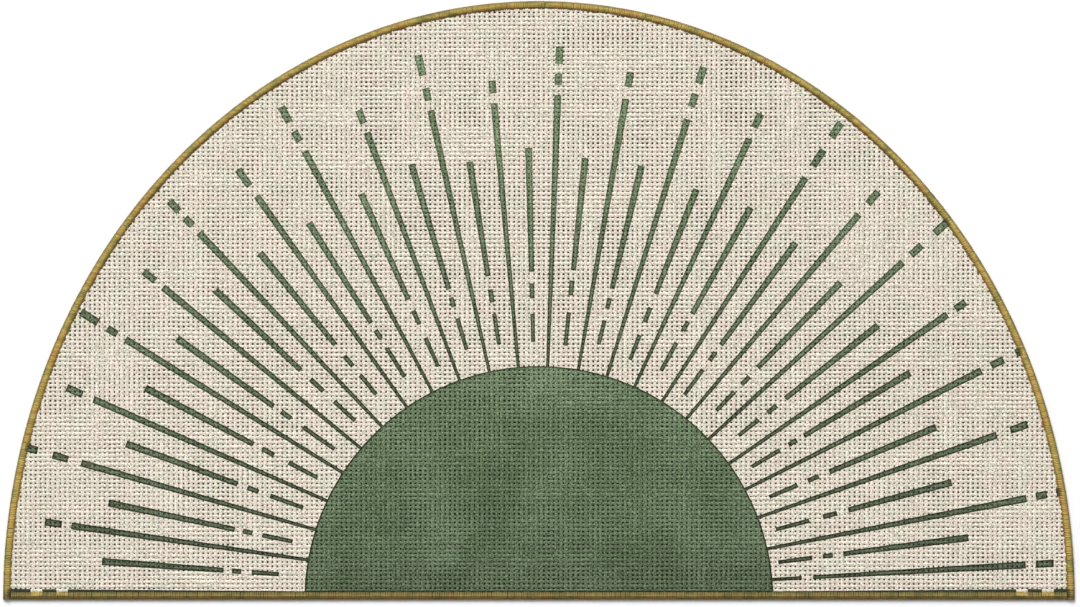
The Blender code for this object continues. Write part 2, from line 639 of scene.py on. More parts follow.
    def turning_dashes(
        self,
        tree: bpy.types.NodeTree,
        flat: bpy.types.Node,
        radius: bpy.types.Node,
        number: bpy.types.Node,
        is_short: bpy.types.Node,
    ) -> bpy.types.Node:
        """Where the dashes of the rays between the two level ones are.

        Args:
            tree: The material's nodes.
            flat: The flat offset from the rays' centre.
            radius: The distance from it.
            number: The ray's number.
            is_short: 1 on a short ray and 0 on a long one.

        Returns:
            1 along the dashes and 0 between them.
        """
        add = partial(add_node, tree)
        stretches = [(*kind.value.stretch, 0.0) for kind in (RayKind.PLAIN, RayKind.SHORT)]
        stretch = add("Mix", is_short, *stretches, data_type="VECTOR")
        drawn_in = self.pulled_in(tree, flat, radius, stretch)
        lane = add("Math", number, JITTER_LANE, operation="MULTIPLY")
        along = add("Math", radius, self.dash_jitter_length, operation="DIVIDE")
        spot = add("CombineXYZ", lane, along)
        flat_noise = {"Vector": spot, "Scale": 1.0, "Detail": 0.0}
        chance = add("TexNoise", inputs=flat_noise, noise_dimensions="2D")
        jitter = add("Math", chance, NOISE_MIDDLE, operation="SUBTRACT")
        shaken = add("Math", jitter, self.dash_jitter, drawn_in, operation="MULTIPLY_ADD")
        share = add("Math", shaken, self.reach, operation="DIVIDE")
        plain, broken, tipped, short = (
            add("ValToRGB", share, stops=self.dash_stops(kind.value))
            for kind in (RayKind.PLAIN, RayKind.BROKEN, RayKind.TIPPED, RayKind.SHORT)
        )
        is_lowest = add("Math", number, 0.0, SAME_NUMBER, operation="COMPARE")
        untipped = add("Mix", is_lowest, plain, broken)
        in_four = add("Math", number, 4.0, operation="FLOORED_MODULO")
        is_tipped = add("Math", in_four, 2.0, SAME_NUMBER, operation="COMPARE")
        long_dashes = add("Mix", is_tipped, untipped, tipped)
        return add("Mix", is_short, long_dashes, short)

    def level_rays(
        self, tree: bpy.types.NodeTree, flat: bpy.types.Node, radius: bpy.types.Node
    ) -> bpy.types.Node:
        """How deep the surface is inside the two rays that lie level, half hidden by the edging.

        Args:
            tree: The material's nodes.
            flat: The flat offset from the rays' centre.
            radius: The distance from it.

        Returns:
            The depth, under 0 outside.
        """
        add = partial(add_node, tree)
        up = add("SeparateXYZ", flat).outputs["Y"]
        away = add("Math", up, operation="ABSOLUTE")
        half_width = add("Math", radius, RayKind.LEVEL.value.wedge / 2, operation="MULTIPLY")
        drawn_in = self.pulled_in(tree, flat, radius, (*RayKind.LEVEL.value.stretch, 0.0))
        share = add("Math", drawn_in, self.reach, operation="DIVIDE")
        dashes = add("ValToRGB", share, stops=self.dash_stops(RayKind.LEVEL.value))
        depth = self.ray_depth(tree, away, half_width, dashes)
        return add("Math", depth, self.level_depth, operation="MINIMUM")

    def ink(self, tree: bpy.types.NodeTree, place: bpy.types.NodeSocket) -> Ink:
        """How much ink the surface takes.

        Args:
            tree: The material's nodes.
            place: Its Object coordinates.

        Returns:
            The nodes that tell it.
        """
        add = partial(add_node, tree)
        grain = add("TexNoise", inputs={"Vector": place, "Scale": 1 / self.edge_grain, "Detail": 2.0})
        middle = add("VectorMath", grain.outputs["Color"], (NOISE_MIDDLE,) * 3, operation="SUBTRACT")
        wobble = add("VectorMath", middle, (2 * self.edge_wobble,) * 3, operation="MULTIPLY")
        shaken = add("VectorMath", place, wobble, operation="ADD")

        _, from_sun = self.offset_from(tree, shaken, self.sun_centre)
        sun = add("Math", self.sun_radius, from_sun, operation="SUBTRACT")
        flat, radius = self.offset_from(tree, shaken, self.ray_centre)
        turning = self.turning_rays(tree, flat, radius)
        rays = add("Math", turning, self.level_rays(tree, flat, radius), operation="MAXIMUM")
        depth = add("Math", sun, rays, operation="MAXIMUM")
        drawn = add("MapRange", depth, -self.edge_blur, self.edge_blur, 0.0, 1.0)
        sides = add("SeparateXYZ", place)
        upper = add("MapRange", sides.outputs["Z"], *self.ink_depth, 0.0, 1.0)
        printed = add("Math", drawn, upper, operation="MULTIPLY")
        # Along the fold under the edging the pooled colour is painted shade in the crease
        above_fold = add("Math", sides.outputs["Y"], self.fold_y, operation="SUBTRACT")
        from_edge = add("Math", depth, above_fold, operation="MINIMUM")
        pooled_and_crease_shade = add("MapRange", from_edge, *self.edge_pool, 1.0, 0.0)
        return Ink(printed, pooled_and_crease_shade, add("Math", sun, 0.0, operation="LESS_THAN"))


class Direction(Enum):
    """Which way a yarn runs: its value is the axis along it."""

    WEFT = 0
    WARP = 1


@dataclass(frozen=True)
class CanvasYarn:
    """Cotton canvas yarn, two-ply and undyed, with a pigment print on top.

    Cotton is dull and a little uneven: the eye gets pale slubs and a faint drift between warm and cool
    cream. The pigment sits in the yarn, so it is as dull, and patchy like worn paint.
    """

    direction: Direction
    creams: tuple[str, str] = ("#DFDBCA", "#E6DACC")
    cream_places: tuple[float, float] = (0.38, 0.62)
    shaded: str = "#C8BEAC"
    shaded_spread: tuple[float, float] = (0.35, 0.65)
    shaded_share: float = 0.4
    drift_size: float = 18 * MM
    streak_width: float = 4.0 * MM
    streak_length: float = 45 * MM

    inks: tuple[str, str, str] = ("#576A4B", "#6A7C5D", "#7C8F71")
    ink_places: tuple[float, float, float] = (0.25, 0.55, 0.85)
    # The pooled ink's colour, which along the edging's fold is also painted shade in the crease
    pooled_ink_and_crease_shade: str = "#263409"
    cloud_size: float = 75 * MM
    ink_streaks: float = 0.5
    ink_grain: tuple[float, float] = (-0.50, 0.10)
    """What the streaks and the fibres add to the clouds that choose between the inks."""

    ray_wear: float = 0.03
    ink_reach: tuple[float, float] = (-250 * MM, 250 * MM)
    """From the first y to the second the print gets lighter and pools less, as the next three pairs say."""

    sun_brightness: tuple[float, float] = (0.70, 1.53)
    ray_brightness: tuple[float, float] = (0.50, 1.28)
    pool_share: tuple[float, float] = (1.30, 0.35)

    roughness: float = 0.93
    specular: float = 0.25
    fibre_size: float = 1.3 * MM
    """Far coarser than cotton fibres, which wouldn't show."""

    fibre_shade: tuple[float, float] = (0.57, 1.43)
    fibre_relief: float = 0.8
    ply_pitch: float = 2.4 * MM
    ply_depth: float = 0.15 * MM

    def streak_scale(self) -> tuple[float, ...]:
        """Works out the scale that draws a pattern out along the yarn.

        Returns:
            The scale along x, y and z.
        """
        sizes = [self.streak_width] * 3
        sizes[self.direction.value] = self.streak_length
        return tuple(1 / size for size in sizes)

    def cotton(
        self, tree: bpy.types.NodeTree, place: bpy.types.NodeSocket, streaks: bpy.types.Node
    ) -> bpy.types.Node:
        """Draws the bare yarn.

        Args:
            tree: The material's nodes.
            place: The surface's Object coordinates.
            streaks: The noise that is drawn out along the yarn.

        Returns:
            Its colour.
        """
        add = partial(add_node, tree)
        drift = add("TexNoise", inputs={"Vector": place, "Scale": 1 / self.drift_size, "Detail": 4.0})
        cream = add("ValToRGB", drift, stops=ramp_stops(self.cream_places, self.creams))
        uneven = add("MapRange", streaks, *self.shaded_spread, 0.0, self.shaded_share)
        return add("Mix", uneven, cream, linear(self.shaded), data_type="RGBA")

    def pigment(
        self,
        tree: bpy.types.NodeTree,
        place: bpy.types.NodeSocket,
        streaks: bpy.types.Node,
        fibres: bpy.types.Node,
        ink: Ink,
    ) -> bpy.types.Node:
        """Draws the pigment: patchy, darker where it pools and under the painted crease shade along the
        edging, and lighter away from the straight edge.

        Args:
            tree: The material's nodes.
            place: The surface's Object coordinates.
            streaks: The noise that is drawn out along the yarn.
            fibres: The noise that stands for the fibres.
            ink: Where the print is.

        Returns:
            Its colour.
        """
        add = partial(add_node, tree)
        drawn_clouds = {"Vector": place, "Scale": 1 / self.cloud_size, "Detail": 5.0, "Distortion": 0.8}
        clouds = add("TexNoise", inputs=drawn_clouds)
        patches = add("Math", streaks, self.ink_streaks, clouds, operation="MULTIPLY_ADD")
        grain = add("MapRange", fibres, *NOISE_SPREAD, *self.ink_grain)
        speckled = add("Math", patches, grain, operation="ADD")
        green = add("ValToRGB", speckled, stops=ramp_stops(self.ink_places, self.inks))
        up = add("SeparateXYZ", place).outputs["Y"]
        on_sun, on_rays, share = (
            add("MapRange", up, *self.ink_reach, *ends)
            for ends in (self.sun_brightness, self.ray_brightness, self.pool_share)
        )
        brightness = add("Mix", ink.on_ray, on_sun, on_rays)
        thick = add("Math", ink.pooled_and_crease_shade, share, operation="MULTIPLY")
        laid = add("Mix", thick, green, linear(self.pooled_ink_and_crease_shade), data_type="RGBA")
        return add("VectorMath", laid, brightness, operation="SCALE")

    def build(self, sunburst: Sunburst) -> bpy.types.Material:
        """Makes the material.

        Args:
            sunburst: The print on it.

        Returns:
            The material.
        """
        material, tree, shader = new_material("Cotton canvas yarn, printed, " + self.direction.name.lower())
        add = partial(add_node, tree)
        place = add("TexCoord").outputs["Object"]
        drawn_out = add("Mapping", place, inputs={"Scale": self.streak_scale()})
        streaks = add("TexNoise", inputs={"Vector": drawn_out, "Scale": 1.0, "Detail": 3.0})
        fibres = add("TexNoise", inputs={"Vector": place, "Scale": 1 / self.fibre_size, "Detail": 2.0})

        ink = sunburst.ink(tree, place)
        left = add("Math", ink.on_ray, -self.ray_wear, 1.0, operation="MULTIPLY_ADD")
        cover = add("Math", ink.printed, left, operation="MULTIPLY")
        bare = self.cotton(tree, place, streaks)
        pigment = self.pigment(tree, place, streaks, fibres, ink)
        printed = add("Mix", cover, bare, pigment, data_type="RGBA")
        fuzz = add("MapRange", fibres, *NOISE_SPREAD, *self.fibre_shade)
        toned = add("VectorMath", printed, fuzz, operation="SCALE")
        tree.links.new(toned.outputs[0], shader.inputs["Base Color"])

        twisted = {"Vector": place, "Scale": BAND_REPEAT / self.ply_pitch, "Distortion": 4.0, "Detail": 2.0}
        plies = add("TexWave", inputs=twisted, bands_direction="DIAGONAL")
        relief = add("Math", fibres, self.fibre_relief, plies, operation="MULTIPLY_ADD")
        bump = add("Bump", inputs={"Height": relief, "Distance": self.ply_depth})
        tree.links.new(bump.outputs["Normal"], shader.inputs["Normal"])
        shader.inputs["Roughness"].default_value = self.roughness
        shader.inputs["Specular IOR Level"].default_value = self.specular
        return material


@dataclass(frozen=True)
class HoleShadeSheet:
    """A sheet deep in the weave, where no light falls: its near black is painted shade that gives the eye
    the dark of the holes.
    """

    # Both near black: painted shade in the holes, under bare and under printed yarn
    bare: str = "#2B1A08"
    printed: str = "#061203"
    roughness: float = 0.95
    drift_size: float = 9 * MM
    drift_shade: tuple[float, float] = (0.6, 1.5)

    def build(self, sunburst: Sunburst) -> bpy.types.Material:
        """Makes the material.

        Args:
            sunburst: The print above it.

        Returns:
            The material.
        """
        material, tree, shader = new_material("Cotton yarn in the depth of the weave")
        add = partial(add_node, tree)
        place = add("TexCoord").outputs["Object"]
        drift = add("TexNoise", inputs={"Vector": place, "Scale": 1 / self.drift_size, "Detail": 3.0})
        uneven = add("MapRange", drift, *NOISE_SPREAD, *self.drift_shade)
        ink = sunburst.ink(tree, place).printed
        colour = add("Mix", ink, linear(self.bare), linear(self.printed), data_type="RGBA")
        toned = add("VectorMath", colour, uneven, operation="SCALE")
        tree.links.new(toned.outputs[0], shader.inputs["Base Color"])
        shader.inputs["Roughness"].default_value = self.roughness
        return material


@dataclass(frozen=True)
class YarnSet:
    """The yarns that run one way."""

    direction: Direction
    pitch: float
    width: float
    names: tuple[str, str]
    split: float
    """The place across the yarns where the second piece takes over from the first."""


@dataclass(frozen=True)
class WovenCloth:
    """The plain-woven cloth panel: real yarns over and under each other, round a sheet painted dark as the
    holes' shade.
    """

    rim: HalfEllipse
    cloth_rim: HalfEllipse
    """The mat's outline, and that of the cloth's own solid, which the edging wraps."""

    height: float
    sunburst: Sunburst
    warp_pitch: float = 4.14 * MM
    weft_pitch: float = 3.66 * MM
    warp_width: float = 2.69 * MM
    weft_width: float = 2.45 * MM
    yarn_height: float = 2.5 * MM
    yarn_corners: tuple[tuple[float, float], ...] = (
        (-0.5, -0.37),
        (-0.5, 0.37),
        (-0.42, 0.5),
        (0.42, 0.5),
        (0.5, 0.37),
        (0.5, -0.37),
        (0.42, -0.5),
        (-0.42, -0.5),
    )
    weft_split_share: float = 0.404
    """How far up the mat the wefts are split into their two pieces."""

    tuck: float = 3.0 * MM
    """How far inside the rim the yarns end, under the edging."""

    end_room: float = 0.8 * MM
    fewest_crossings: int = 2
    """A yarn crosses another only this far from its ends, and at least so many, or it is left out."""

    rim_squeeze: float = 0.5
    rim_thinning: float = 0.75
    """How much of its rise and fall, and of its thickness, a yarn keeps under the edging."""

    squeeze_reach: tuple[float, float] = (6.0 * MM, 8.8 * MM)
    """How far inside the rim the yarns start to open out from under the edging, and where they are full."""

    wander: float = 0.26 * MM
    wander_length: float = 16 * MM
    streak_swell: float = 0.30
    streak_size: tuple[float, float] = (14 * MM, 110 * MM)
    slub_swell: float = 0.21
    slub_length: float = 8 * MM
    thickest: float = 1.18
    """The most that a yarn swells, so that it still bends over and under in the cloth's height."""

    slub_lane: float = 3.7
    """How far apart in the noise two warps side by side read their slubs, so that each has its own."""

    wander_lane: float = 900.0
    """The same for the wander, for each metre across."""

    warp_layer: float = 10.0
    slub_layer: float = 5.0
    wander_layer: float = 20.0
    """How high in the noise the warps' swell, the slubs and the wander are read, so that none are alike."""

    inner_height: float = 0.3 * MM

    def yarn_sets(self) -> tuple[YarnSet, YarnSet]:
        """Lists the yarns that are woven.

        Returns:
            The warps and the wefts.
        """
        warp_names = ("warp_yarns_left", "warp_yarns_right")
        weft_names = ("weft_yarns_near", "weft_yarns_far")
        weft_split = self.rim.base_y + self.weft_split_share * self.rim.rise
        return (
            YarnSet(Direction.WARP, self.warp_pitch, self.warp_width, warp_names, 0.0),
            YarnSet(Direction.WEFT, self.weft_pitch, self.weft_width, weft_names, weft_split),
        )

    def places(self, yarns: YarnSet) -> np.ndarray:
        """Spaces yarns evenly from the middle of the mat.

        Args:
            yarns: The set.

        Returns:
            The place of each yarn across the set.
        """
        inner = self.rim.inset(self.tuck)
        crossing = 1 - yarns.direction.value
        low, high = inner.span(crossing, 0.0 if crossing else inner.centre_y)
        first, last = math.ceil(low / yarns.pitch), math.floor(high / yarns.pitch)
        return (np.arange(first, last) + 0.5) * yarns.pitch

    def swell(self, direction: Direction, across: float, along: np.ndarray) -> np.ndarray:
        """How thick a yarn is along its run: long streaks, and short slubs.

        Args:
            direction: Which way it runs.
            across: Its place.
            along: Places along it.

        Returns:
            Shares of the usual thickness.
        """
        wide, long = self.streak_size
        layer = self.warp_layer * direction.value
        streaks = [noise.noise((across / wide, place / long, layer)) for place in along]
        lane = across / self.warp_pitch * self.slub_lane
        layer += self.slub_layer
        slubs = [noise.noise((lane, place / self.slub_length, layer)) for place in along]
        swell = 1 + self.streak_swell * np.array(streaks) + self.slub_swell * np.array(slubs)
        return np.minimum(swell, self.thickest)

    def run(self, yarns: YarnSet, number: int, across: float, crossed: np.ndarray) -> np.ndarray | None:
        """The path of one yarn over and under those that it crosses.

        Args:
            yarns: The set it belongs to.
            number: Its number in the set, which settles whether it starts over or under.
            across: Its place.
            crossed: The places of the yarns of the other set.

        Returns:
            Rows of x, y, z and thickness share, or None where it would be too short to hold.
        """
        axis = yarns.direction.value
        first, last = self.rim.inset(self.tuck).span(axis, across)
        room = self.end_room
        inside = (crossed - room > first) & (crossed + room < last)
        if inside.sum() < self.fewest_crossings:
            return None
        sides = np.where((np.flatnonzero(inside) + number) % 2, 1.0, -1.0)
        along = np.concatenate(([first], crossed[inside], [last]))
        level = np.concatenate(([0.0], sides, [0.0]))

        swell = self.swell(yarns.direction, across, along)
        lane, layer = across * self.wander_lane, self.wander_layer + axis
        sway = [noise.noise((lane, place / self.wander_length, layer)) for place in along]
        path = np.empty((len(along), 4))
        path[:, axis] = along
        path[:, 1 - axis] = across + self.wander * np.array(sway)
        inside_rim = self.rim.distance_inside(path[:, 0], path[:, 1])
        near, far = self.squeeze_reach
        opened = np.clip((inside_rim - near) / (far - near), 0, 1)
        squeeze = self.rim_squeeze + (1 - self.rim_squeeze) * opened
        amplitude = (self.height / 2 - self.yarn_height / 2 * swell) * squeeze
        path[:, 2] = self.height / 2 + level * amplitude
        path[:, 3] = swell * (self.rim_thinning + (1 - self.rim_thinning) * opened)
        return path

    def build_yarns(self, yarns: YarnSet, crossed: np.ndarray) -> list[bpy.types.Object]:
        """Weaves one set of yarns, as two pieces.

        Args:
            yarns: The set.
            crossed: The places of the yarns of the other set.

        Returns:
            The pieces.
        """
        material = CanvasYarn(yarns.direction).build(self.sunburst)
        numbered = list(enumerate(self.places(yarns)))
        pieces = []
        for name, second in zip(yarns.names, (False, True)):
            here = [(number, across) for number, across in numbered if (across > yarns.split) == second]
            runs = [self.run(yarns, number, across, crossed) for number, across in here]
            profile = section(yarns.width, self.yarn_height, self.yarn_corners)
            piece = yarn_mesh(name, (run for run in runs if run is not None), profile, "Z_UP")
            lay_flat(piece)
            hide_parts("cloth_panel")
            pieces.append(dress(piece, material))
        return pieces

    def build_hole_shade(self) -> bpy.types.Object:
        """Makes the sheet between the yarns' upper and lower sides, painted dark as the shade in the holes.

        Returns:
            The piece.
        """
        bm = bmesh.new()
        self.cloth_rim.face(bm, (self.height - self.inner_height) / 2)
        close_upwards(bm, self.inner_height)
        inner = mesh_object("cloth_hole_shade_sheet", bm)
        lay_flat(inner)
        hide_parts("cloth_panel")
        return dress(inner, HoleShadeSheet().build(self.sunburst))

    def build(self) -> list[bpy.types.Object]:
        """Returns:
            The inner sheet, and the pieces of the yarns.
        """
        warps, wefts = self.yarn_sets()
        woven = self.build_yarns(warps, self.places(wefts)) + self.build_yarns(wefts, self.places(warps))
        inner = self.build_hole_shade()
        base, crown = self.cloth_rim.span(Direction.WARP.value, 0.0)
        self.cloth_rim.area()
        return [inner, *woven]


@dataclass(frozen=True)
class OverlockYarn:
    """Spun polyester overlock yarn in old gold.

    It has a low silky sheen, so ridges catch the light, and dye lots that run from olive to orange. A reach
    along a stitch is a share of its length, from its start under the mat to its end on top.
    """

    name: str = "Spun polyester overlock yarn"
    dyes: tuple[str, str, str] = ("#8E853C", "#B59C4B", "#B48C42")
    dye_places: tuple[float, float, float] = (0.36, 0.50, 0.66)
    patch_size: float = 13 * MM
    light: str = "#CDB75F"
    light_share: float = 0.6
    dark: str = "#7C662A"
    dark_share: float = 0.55
    streak_size: tuple[float, float] = (9 * MM, 1.2 * MM)
    streak_tone: tuple[float, float] = (-0.5, 0.5)

    pressed_ink_and_crease_shade: str = "#2C3A18"
    soaked_reach: tuple[float, float, float, float] = (0.60, 0.66, 0.82, 0.92)
    soaked_share: float = 0.6
    # How much ink the yarn takes between the middle two of those places along a stitch. It takes none
    # before the first, and all of it past the last, where its dark is also painted shade in the crease.
    """How much ink the yarn takes between the middle two of those places along a stitch. It takes none
    before the first, and all of it past the last."""

    outer_shade: str = "#BABCBA"
    outer_reach: tuple[float, float] = (0.44, 0.53)
    # Up to the first place along a stitch it is darker, by painted shade on its outer flank, and from the
    # second it has its own colour.
    """Up to the first place along a stitch it is duller, and from the second it has its own colour."""

    inner_shade: str = "#BCAF8C"
    inner_reach: tuple[float, float] = (0.72, 0.80)
    # Up to the first place it keeps that colour, and from the second it is browner, by painted shade where
    # the stitch dips into the cloth.
    """Up to the first place it keeps that colour, and from the second it is browner."""

    crown_shade: str = "#D0CABE"
    crown_reach: tuple[float, float] = (0.61, 0.74)
    crown_rise: tuple[float, float] = (-100 * MM, 120 * MM)
    # Between those places along a stitch, and between these y, it gets darker inside the crown: painted
    # shade on the slope that faces away from the light.
    """Between those places along a stitch, and between these y, it gets darker, inside the crown."""

    corner_shade: str = "#9A9270"
    corner_reach: tuple[float, float] = (-251 * MM, -237 * MM)
    """Up to the first y it is darker, at the two corners, and from the second it isn't."""

    roughness: float = 0.62
    fibre_pitch: float = 0.6 * MM
    """Coarser than real fibres, which wouldn't show."""

    fibre_depth: float = 0.08 * MM

    def dyed(self, tree: bpy.types.NodeTree, place: bpy.types.NodeSocket) -> bpy.types.Node:
        """Draws the clean yarn: patches of dye, and lighter and darker threads with streaks.

        Args:
            tree: The material's nodes.
            place: The surface's Object coordinates.

        Returns:
            Its colour.
        """
        add = partial(add_node, tree)
        patches = add("TexNoise", inputs={"Vector": place, "Scale": 1 / self.patch_size, "Detail": 3.0})
        dye = add("ValToRGB", patches, stops=ramp_stops(self.dye_places, self.dyes))
        long, short = self.streak_size
        drawn_out = add("Mapping", place, inputs={"Scale": (1 / long, 1 / short, 1 / long)})
        streaks = add("TexNoise", inputs={"Vector": drawn_out, "Scale": 1.0, "Detail": 2.0})
        own = add("Attribute", attribute_name=STITCH_TONE).outputs["Fac"]
        streaked = add("MapRange", streaks, *NOISE_SPREAD, *self.streak_tone)
        tone = add("Math", own, streaked, operation="ADD")
        darker = add("MapRange", tone, 0.0, MIDDLE_TONE, self.dark_share, 0.0)
        lighter = add("MapRange", tone, MIDDLE_TONE, 1.0, 0.0, self.light_share)
        shaded = add("Mix", darker, dye, linear(self.dark), data_type="RGBA")
        return add("Mix", lighter, shaded, linear(self.light), data_type="RGBA")

    def paint_shades(
        self,
        tree: bpy.types.NodeTree,
        place: bpy.types.NodeSocket,
        way: bpy.types.NodeSocket,
        colour: bpy.types.Node,
    ) -> bpy.types.Node:
        """Paints shade on the yarn along its stitch and inside the crown, and darkens it at the mat's
        corners.

        Args:
            tree: The material's nodes.
            place: The surface's Object coordinates.
            way: How far along its stitch it is.
            colour: Its colour so far.

        Returns:
            Its colour with the shades.
        """
        add = partial(add_node, tree)
        # Painted shade on each stitch's outer flank and at its inner end, where it dips into the cloth
        shades = (linear(self.outer_shade), WHITE, WHITE, linear(self.inner_shade))
        shade = add("ValToRGB", way, stops=list(zip(self.outer_reach + self.inner_reach, shades)))
        turned = add("VectorMath", colour, shade, operation="MULTIPLY")
        up = add("SeparateXYZ", place).outputs["Y"]
        # Darker towards the two bottom corners
        at_corner = add("MapRange", up, *self.corner_reach, 1.0, 0.0)
        corner_darkening = add("Mix", at_corner, WHITE, linear(self.corner_shade), data_type="RGBA")
        dulled = add("VectorMath", turned, corner_darkening, operation="MULTIPLY")
        # Painted shade on the inner slope of the stitches at the crown
        inwards = add("MapRange", way, *self.crown_reach, 0.0, 1.0)
        near_crown = add("MapRange", up, *self.crown_rise, 0.0, 1.0)
        at_crown = add("Math", inwards, near_crown, operation="MULTIPLY")
        crown_painted_shade = add("Mix", at_crown, WHITE, linear(self.crown_shade), data_type="RGBA")
        return add("VectorMath", dulled, crown_painted_shade, operation="MULTIPLY")

    def build(self, sunburst: Sunburst) -> bpy.types.Material:
        """Makes the material. It reads each thread's tone, and the way along it, from its attributes.

        Args:
            sunburst: The print, which also stains the edging that covers it.

        Returns:
            The material.
        """
        material, tree, shader = new_material(self.name)
        add = partial(add_node, tree)
        place = add("TexCoord").outputs["Object"]
        way = add("Attribute", attribute_name=STITCH_WAY).outputs["Fac"]
        # The print's ink on the stitches, fullest at their inner ends, where its dark is also painted shade
        # in the crease at the cloth
        share = (*[self.soaked_share] * 3, 1.0)
        soaked = add("ValToRGB", way, stops=list(zip(self.soaked_reach, (BLACK, share, share, WHITE))))
        ink_and_crease_shade = add("Math", sunburst.ink(tree, place).printed, soaked, operation="MULTIPLY")
        stained_and_shaded = add("Mix", ink_and_crease_shade, self.dyed(tree, place), linear(self.pressed_ink_and_crease_shade), data_type="RGBA")
        colour = self.paint_shades(tree, place, way, stained_and_shaded)
        tree.links.new(colour.outputs[0], shader.inputs["Base Color"])

        fibres = add("TexNoise", inputs={"Vector": place, "Scale": 1 / self.fibre_pitch, "Detail": 2.0})
        bump = add("Bump", inputs={"Height": fibres, "Distance": self.fibre_depth})
        tree.links.new(bump.outputs["Normal"], shader.inputs["Normal"])
        shader.inputs["Roughness"].default_value = self.roughness
        return material


# The straight run's yarn: darker outside, by painted shade on its outer flank, lighter inside, and no
# darker at its ends
STRAIGHT_RUN_YARN = OverlockYarn(
    name="Spun polyester overlock yarn, dulled by feet",
    outer_shade="#9C957A",
    outer_reach=(0.59, 0.64),
    inner_shade="#D0CB8E",
    inner_reach=(0.72, 0.86),
    corner_shade="#FFFFFF",
)


